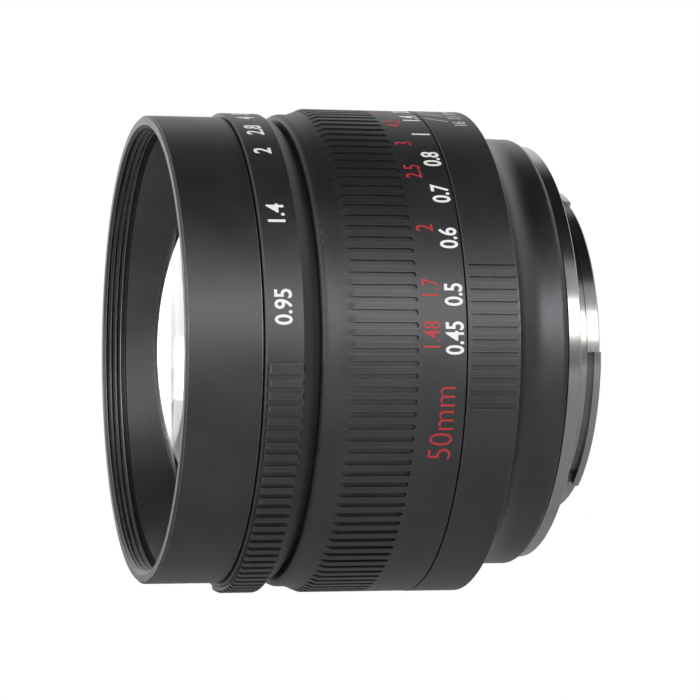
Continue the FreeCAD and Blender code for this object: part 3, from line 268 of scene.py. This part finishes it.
def place_group(tree, group, **values):
    node = tree.nodes.new("ShaderNodeGroup")
    node.node_tree = group
    for key, value in values.items():
        node.inputs[key.replace("_", " ")].default_value = value
    return node


def tint_between(tree, mask, dark, pale):
    """Mix two colours by a mask and return the colour socket."""
    mix = add_node(tree, "ShaderNodeMix", data_type="RGBA")
    tree.links.new(mask, mix.inputs[0])
    mix.inputs[6].default_value = (*dark, 1)
    mix.inputs[7].default_value = (*pale, 1)
    return mix.outputs[2]


def turned_metal(name, dark, pale, edge, rough, metallic, marks_per_mm, mark_depth, grain_depth,
                 wear_and_highlight_amount):
    """A turned and finished metal: mottled colour, turning marks, grain, and paler edges that are
    partly wear, partly a painted highlight.
    """
    finish = bpy.data.materials.new(name)
    finish.use_nodes = True
    tree = finish.node_tree
    surface = tree.nodes["Principled BSDF"]
    marks = place_group(tree, turning, Marks_per_mm=marks_per_mm)
    grains = place_group(tree, grain)
    edges = place_group(tree, wear_and_highlight, Amount=wear_and_highlight_amount)
    mottle = ramp(tree, grains.outputs["Mottle"], [(0.3, 0.0), (0.7, 1.0)])
    body_tint = tint_between(tree, mottle, dark, pale)
    # The edge colour paints the edges paler: partly wear, partly a painted highlight.
    edge_tint = add_node(tree, "ShaderNodeMix", data_type="RGBA")
    tree.links.new(edges.outputs["Edge"], edge_tint.inputs[0])
    tree.links.new(body_tint, edge_tint.inputs[6])
    edge_tint.inputs[7].default_value = (*edge, 1)
    tree.links.new(edge_tint.outputs[2], surface.inputs["Base Color"])
    rough_spread = maths(tree, "MULTIPLY_ADD", grains.outputs["Mottle"], 0.12)
    rough_spread.node.inputs[2].default_value = rough - 0.06
    rough_marks = maths(tree, "MULTIPLY_ADD", marks.outputs["Marks"], 0.10)
    rough_marks.node.inputs[2].default_value = -0.05
    tree.links.new(maths(tree, "ADD", rough_spread, rough_marks), surface.inputs["Roughness"])
    surface.inputs["Metallic"].default_value = metallic
    mark_bump = add_node(tree, "ShaderNodeBump", Strength=1.0, Distance=mark_depth)
    tree.links.new(marks.outputs["Marks"], mark_bump.inputs["Height"])
    grain_bump = add_node(tree, "ShaderNodeBump", Strength=1.0, Distance=grain_depth)
    tree.links.new(grains.outputs["Grain"], grain_bump.inputs["Height"])
    join(tree, mark_bump, "Normal", grain_bump, "Normal")
    join(tree, grain_bump, "Normal", surface, "Normal")
    return finish


def dress(names, finish):
    """Give CAD nodes one finish."""
    for name in names:
        piece = frame["nodes"][name]
        piece.data.materials.clear()
        piece.data.materials.append(finish)


bodies = frame["record"]["behaviour"]["bodies"]
body_of = {node: body for body, nodes in bodies.items() for node in nodes}
weld_distance = 0.0002 * MM
smooth_angle = math.radians(25)


def welded_copy(node):
    """A ring's outer piece as one welded mesh, so its polish runs on without a seam."""
    bpy.ops.object.select_all(action="DESELECT")
    source = frame["nodes"][node]
    source.select_set(True)
    bpy.context.view_layer.objects.active = source
    bpy.ops.object.duplicate()
    piece = bpy.context.object
    del piece["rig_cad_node"]
    piece.name = f"{node}_finished"
    bpy.ops.object.parent_clear(type="CLEAR_KEEP_TRANSFORM")
    bpy.ops.object.mode_set(mode="EDIT")
    bpy.ops.mesh.select_all(action="SELECT")
    bpy.ops.mesh.customdata_custom_splitnormals_clear()
    bpy.ops.mesh.remove_doubles(threshold=weld_distance)
    bpy.ops.mesh.select_all(action="DESELECT")
    bpy.ops.object.mode_set(mode="OBJECT")
    return piece


def fit_copy(piece, node, finish):
    """Smooth a welded copy, give it its finish and set it in its node's place."""
    bpy.ops.object.select_all(action="DESELECT")
    piece.select_set(True)
    bpy.context.view_layer.objects.active = piece
    bpy.ops.object.shade_smooth_by_angle(angle=smooth_angle)
    piece.data.materials.clear()
    piece.data.materials.append(finish)
    piece.select_set(False)
    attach(piece, body_of[node])
    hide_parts(node)


def finish_rings(nodes, finish):
    """Give each node's place to a welded copy in one finish."""
    for node in nodes:
        fit_copy(welded_copy(node), node, finish)


black_satin = turned_metal("black_satin_anodise", (0.066, 0.067, 0.070), (0.078, 0.079, 0.082),
                           (0.20, 0.20, 0.205), 0.44, 0.85, 9.0, 0.0000014, 0.0000018, 0.8)
finish_rings(["aperture_ring", "focus_ring", "scale_ring"], black_satin)
black_smooth = turned_metal("black_smooth_anodise", (0.072, 0.073, 0.077), (0.086, 0.087, 0.091),
                            (0.22, 0.22, 0.225), 0.36, 0.9, 14.0, 0.0000011, 0.0000008, 0.8)
finish_rings(["rear_cover", "front_trim_ring"], black_smooth)
black_matt = turned_metal("black_matt_anodise", (0.012, 0.012, 0.013), (0.018, 0.018, 0.019),
                          (0.03, 0.03, 0.03), 0.62, 0.0, 4.0, 0.0000030, 0.0000016, 0.4)
dress(["unit_barrel", "base_barrel", "front_cell", "rear_cell", "doublet_retainer",
       "doublet_front_ring", "rear_spacer", "rear_retainer", "helicoid_retainer", "rear_baffle",
       "iris_plate", "iris_actuator"], black_matt)

# ---- front ring: satin black with the filter thread cut inside its mouth -------------
# The mouth takes a 62 mm filter on a 0.75 mm pitch. The thread is a helical V groove,
# cut out from the crest wall in fine rings. The rim's edges get a brighter edge colour:
# a painted highlight for the bright line along the rim, with some handling wear.
front_finish = turned_metal("black_satin_rim", (0.066, 0.067, 0.070), (0.078, 0.079, 0.082),
                            (0.42, 0.42, 0.43), 0.44, 0.85, 9.0, 0.0000014, 0.0000018, 1.6)
thread_pitch = 0.75 * MM
thread_depth = 0.36 * MM
thread_lead_in = 0.4 * MM
thread_length = 2.2 * MM
thread_run_out = 0.2 * MM
crest_radius = 30.6 * MM
crest_band = 0.05 * MM
end_band = 0.01 * MM
rings_per_turn = 8
front_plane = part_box("front_ring")[0][1]
thread_start = front_plane + thread_lead_in
thread_end = thread_start + thread_length
front_copy = welded_copy("front_ring")


def select_crest_wall():
    """Select the faces of the mouth's wall, in edit mode, where the thread is cut."""
    bpy.ops.object.mode_set(mode="OBJECT")
    for face in front_copy.data.polygons:
        across = math.hypot(face.center.x, face.center.z)
        on_wall = abs(across - crest_radius) < crest_band
        face.select = on_wall and thread_start < face.center.y < thread_end
    bpy.ops.object.mode_set(mode="EDIT")


select_crest_wall()
bpy.ops.mesh.select_mode(type="FACE")
ring_step = thread_pitch / rings_per_turn
for ring in range(1, int(thread_length / ring_step) + 1):
    bpy.ops.mesh.bisect(plane_co=(0, thread_start + ring * ring_step, 0), plane_no=(0, 1, 0))
    bpy.ops.mesh.select_all(action="DESELECT")
    select_crest_wall()
bpy.ops.object.mode_set(mode="OBJECT")
for vertex in front_copy.data.vertices:
    across = math.hypot(vertex.co.x, vertex.co.z)
    inside = min(vertex.co.y - thread_start, thread_end - vertex.co.y)
    if abs(across - crest_radius) > crest_band or inside < end_band:
        continue
    round_turn = math.atan2(vertex.co.z, vertex.co.x) / (2 * math.pi)
    turns = (vertex.co.y - thread_start) / thread_pitch + round_turn
    wave = 2 * abs(turns % 1.0 - 0.5)
    cut = thread_depth * wave * min(1.0, inside / thread_run_out)
    vertex.co.x *= (across + cut) / across
    vertex.co.z *= (across + cut) / across
fit_copy(front_copy, "front_ring", front_finish)

# ---- bright metals: chromed mount, helicoid brass, steel screws ------------------------
# The bayonet is brass, turned and chrome plated; the helicoids are greased brass on
# aluminium; the screws and pins are plain or blackened steel.
# As on the black rings, the edge colours paint the edges paler: partly wear, partly a painted
# highlight.
chrome = turned_metal("mount_chrome", (0.33, 0.325, 0.315), (0.40, 0.395, 0.385), (0.7, 0.7, 0.68),
                      0.17, 1.0, 5.0, 0.0000012, 0.0000003, 0.5)
finish_rings(["bayonet_mount"], chrome)
brass = turned_metal("helicoid_brass", (0.52, 0.36, 0.14), (0.64, 0.46, 0.20), (0.8, 0.62, 0.32),
                     0.34, 1.0, 7.0, 0.0000012, 0.0000006, 0.6)
dress(["focus_helicoid", "guide_keys"], brass)
bare_metal = turned_metal("bare_aluminium", (0.55, 0.55, 0.56), (0.66, 0.66, 0.67),
                          (0.8, 0.8, 0.8), 0.36, 1.0, 7.0, 0.0000014, 0.0000006, 0.5)
dress(["lens_helicoid"], bare_metal)
steel = turned_metal("screw_steel", (0.36, 0.36, 0.37), (0.46, 0.46, 0.47), (0.7, 0.7, 0.7),
                     0.32, 1.0, 10.0, 0.0000010, 0.0000005, 0.8)
dress(["mount_screws", "barrel_screws", "helicoid_screws", "key_screws", "aperture_drive_pin",
       "mount_shim"], steel)
blade_steel = turned_metal("blackened_blades", (0.020, 0.020, 0.021), (0.034, 0.034, 0.035),
                           (0.16, 0.16, 0.16), 0.50, 0.4, 3.0, 0.0000006, 0.0000008, 0.6)
dress([name for name in frame["nodes"] if name.startswith("iris_blade_")], blade_steel)

# ---- glass: seven coated elements ------------------------------------------------------
# Optical glass with a thin anti-reflection coating, which tints what it reflects.
glass = bpy.data.materials.new("coated_glass")
glass.use_nodes = True
glass_tree = glass.node_tree
glass_surface = glass_tree.nodes["Principled BSDF"]
glass_surface.inputs["Transmission Weight"].default_value = 1.0
glass_surface.inputs["IOR"].default_value = 1.80
glass_surface.inputs["Coat Weight"].default_value = 1.0
glass_dust = place_group(glass_tree, grain, Grains_per_mm=2.0)
glass_tint = tint_between(glass_tree, glass_dust.outputs["Mottle"], (0.86, 0.90, 0.88),
                          (0.92, 0.94, 0.93))
glass_tree.links.new(glass_tint, glass_surface.inputs["Base Color"])
glass_haze = maths(glass_tree, "MULTIPLY", glass_dust.outputs["Grain"], 0.03)
glass_tree.links.new(glass_haze, glass_surface.inputs["Roughness"])
finish_rings(["front_element"], glass)
dress(["second_element", "third_element", "fourth_element", "fifth_element", "sixth_element",
       "rear_element"], glass)

# ---- engraved and filled markings --------------------------------------------------------
# The numbers are engraved and filled with white or red paint. They read up the side of
# the lens with their tops towards the front, so they stand upright from behind it.
def paint(name, dark, pale):
    """Filled paint: slightly uneven, with a soft gloss."""
    filling = bpy.data.materials.new(name)
    filling.use_nodes = True
    tree = filling.node_tree
    surface = tree.nodes["Principled BSDF"]
    grains = place_group(tree, grain, Grains_per_mm=6.0)
    tint = tint_between(tree, grains.outputs["Grain"], dark, pale)
    tree.links.new(tint, surface.inputs["Base Color"])
    spread = maths(tree, "MULTIPLY_ADD", grains.outputs["Mottle"], 0.2)
    spread.node.inputs[2].default_value = 0.42
    tree.links.new(spread, surface.inputs["Roughness"])
    bump = add_node(tree, "ShaderNodeBump", Strength=0.6, Distance=0.00001)
    join(tree, grains, "Grain", bump, "Height")
    join(tree, bump, "Normal", surface, "Normal")
    return filling


white_paint = paint("white_filling", (0.84, 0.84, 0.83), (0.95, 0.95, 0.94))
red_paint = paint("red_filling", (0.40, 0.018, 0.026), (0.56, 0.035, 0.045))
grey_paint = paint("pale_grey_filling", (0.50, 0.50, 0.50), (0.64, 0.64, 0.64))
dress(["mount_index_dot"], white_paint)
paint_below = 0.04 * MM
paint_above = 0.02 * MM
paint_weld = 0.0005 * MM


def wrap(piece, radius, angle, station):
    """Bend a flat piece round a ring: its x runs up round the ring, its y runs forward."""
    for vertex in piece.data.vertices:
        flat = vertex.co.copy()
        turn = math.radians(angle) + flat.x / radius
        reach = radius + flat.z
        vertex.co = (reach * math.cos(turn), station - flat.y, reach * math.sin(turn))


def number_mark(text, height, squeeze, weight, radius, angle, station):
    """One engraved word or number, centred at an angle and a station on a ring."""
    bpy.ops.object.select_all(action="DESELECT")
    bpy.ops.object.text_add(location=(0, 0, 0))
    mark = bpy.context.object
    mark.data.body = text
    mark.data.align_x = "CENTER"
    mark.data.align_y = "CENTER"
    mark.data.size = 1.0
    mark.data.offset = weight
    mark.data.resolution_u = 5
    mark.data.extrude = 0.5
    bpy.ops.object.convert(target="MESH")
    mark = bpy.context.object
    low = min(vertex.co.y for vertex in mark.data.vertices)
    high = max(vertex.co.y for vertex in mark.data.vertices)
    scale = height / (high - low)
    middle = (low + high) / 2
    for vertex in mark.data.vertices:
        vertex.co.x *= scale * squeeze
        vertex.co.y = (vertex.co.y - middle) * scale
        vertex.co.z = paint_above if vertex.co.z > 0 else -paint_below
    wrap(mark, radius, angle, station)
    return mark


def line_mark(width, start, end, radius):
    """A filled line on a ring from one (angle, station) to another."""
    bpy.ops.object.select_all(action="DESELECT")
    bpy.ops.mesh.primitive_cube_add(size=1.0, location=(0, 0, 0))
    mark = bpy.context.object
    run = Vector((radius * math.radians(end[0] - start[0]), start[1] - end[1], 0))
    side = Vector((-run.y, run.x, 0)).normalized() * width / 2
    for vertex in mark.data.vertices:
        place = run * (vertex.co.x + 0.5) + side * (2 * vertex.co.y)
        vertex.co = (place.x, place.y, paint_above if vertex.co.z > 0 else -paint_below)
    wrap(mark, radius, start[0], start[1])
    return mark


def gather(name, marks, filling, body):
    """Join marks into one piece that rides on a body."""
    bpy.ops.object.select_all(action="DESELECT")
    for mark in marks:
        mark.select_set(True)
    bpy.context.view_layer.objects.active = marks[0]
    if len(marks) > 1:
        bpy.ops.object.join()
    piece = bpy.context.object
    piece.name = name
    piece.data.name = name
    bpy.ops.object.mode_set(mode="EDIT")
    bpy.ops.mesh.select_all(action="SELECT")
    bpy.ops.mesh.remove_doubles(threshold=paint_weld)
    bpy.ops.mesh.normals_make_consistent(inside=False)
    bpy.ops.object.mode_set(mode="OBJECT")
    piece.data.materials.clear()
    piece.data.materials.append(filling)
    bpy.ops.object.select_all(action="DESELECT")
    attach(piece, body)


# The aperture numbers stand on the ring's flat band, the widest stop lowest.
aperture_band = 32.82 * MM
aperture_station = front_plane + 12.75 * MM
aperture_stops = [("0.95", 10.0), ("1.4", 32.8), ("2", 54.1), ("2.8", 64.9), ("4", 74.8),
                  ("5.6", 83.0), ("8", 90.0), ("11", 96.5), ("16", 103.0)]
gather("aperture_numbers",
       [number_mark(text, 2.4 * MM, 0.88, 0.018, aperture_band, angle, aperture_station)
        for text, angle in aperture_stops], white_paint, "aperture_ring")

# The distance scales sit on the focus ring's smooth rear band: feet in red, metres white.
focus_band = 33.65 * MM
metre_station = front_plane + 35.4 * MM
metre_marks = [("0.45", 3.0), ("0.5", 12.8), ("0.6", 26.3), ("0.7", 38.4), ("0.8", 50.0),
               ("1", 60.9), ("1.4", 71.6), ("2", 80.5), ("3", 88.0), ("∞", 97.5)]
gather("metre_scale",
       [number_mark(text, 2.5 * MM, 0.77, 0.018, focus_band, angle, metre_station)
        for text, angle in metre_marks], white_paint, "focus_ring")
foot_station = front_plane + 32.3 * MM
foot_marks = [("1.48", 3.4), ("1.7", 14.0), ("2", 28.8), ("2.5", 45.4), ("3", 56.2),
              ("4.5", 67.3), ("7", 79.0), ("15", 88.5), ("∞", 97.5)]
gather("foot_scale",
       [number_mark(text, 2.3 * MM, 0.72, 0.004, focus_band, angle, foot_station)
        for text, angle in foot_marks], red_paint, "focus_ring")
focal_length_station = front_plane + 34.1 * MM
gather("focal_length_mark",
       [number_mark("50mm", 3.1 * MM, 0.90, -0.012, focus_band, -16.4, focal_length_station)],
       red_paint, "focus_ring")

# The depth-of-field scale on the fixed ring: an index at top centre and a line each
# side for every marked stop, slanting in to the focus ring's edge.
fixed_band = 33.70 * MM
index_angle = 90.0
scale_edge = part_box("scale_ring")[0][1]
line_foot = scale_edge + 0.3 * MM
line_top = scale_edge + 3.2 * MM
index_top = scale_edge + 5.2 * MM
field_station = scale_edge + 4.7 * MM
line_slant = 2.6
number_slant = 4.2
field_marks = [("4", 4.0), ("8", 8.2), ("11", 12.6), ("16", 18.0)]
field_pieces = [line_mark(0.35 * MM, (index_angle, line_foot), (index_angle, index_top), fixed_band)]
for text, offset in field_marks:
    for direction in (-1, 1):
        foot = index_angle + direction * offset
        top = foot + direction * line_slant
        beside = foot + direction * number_slant
        field_pieces.append(line_mark(0.22 * MM, (foot, line_foot), (top, line_top), fixed_band))
        field_pieces.append(number_mark(text, 1.9 * MM, 0.86, 0.02, fixed_band, beside,
                                        field_station))
gather("depth_of_field_scale", field_pieces, grey_paint, "mount_base")
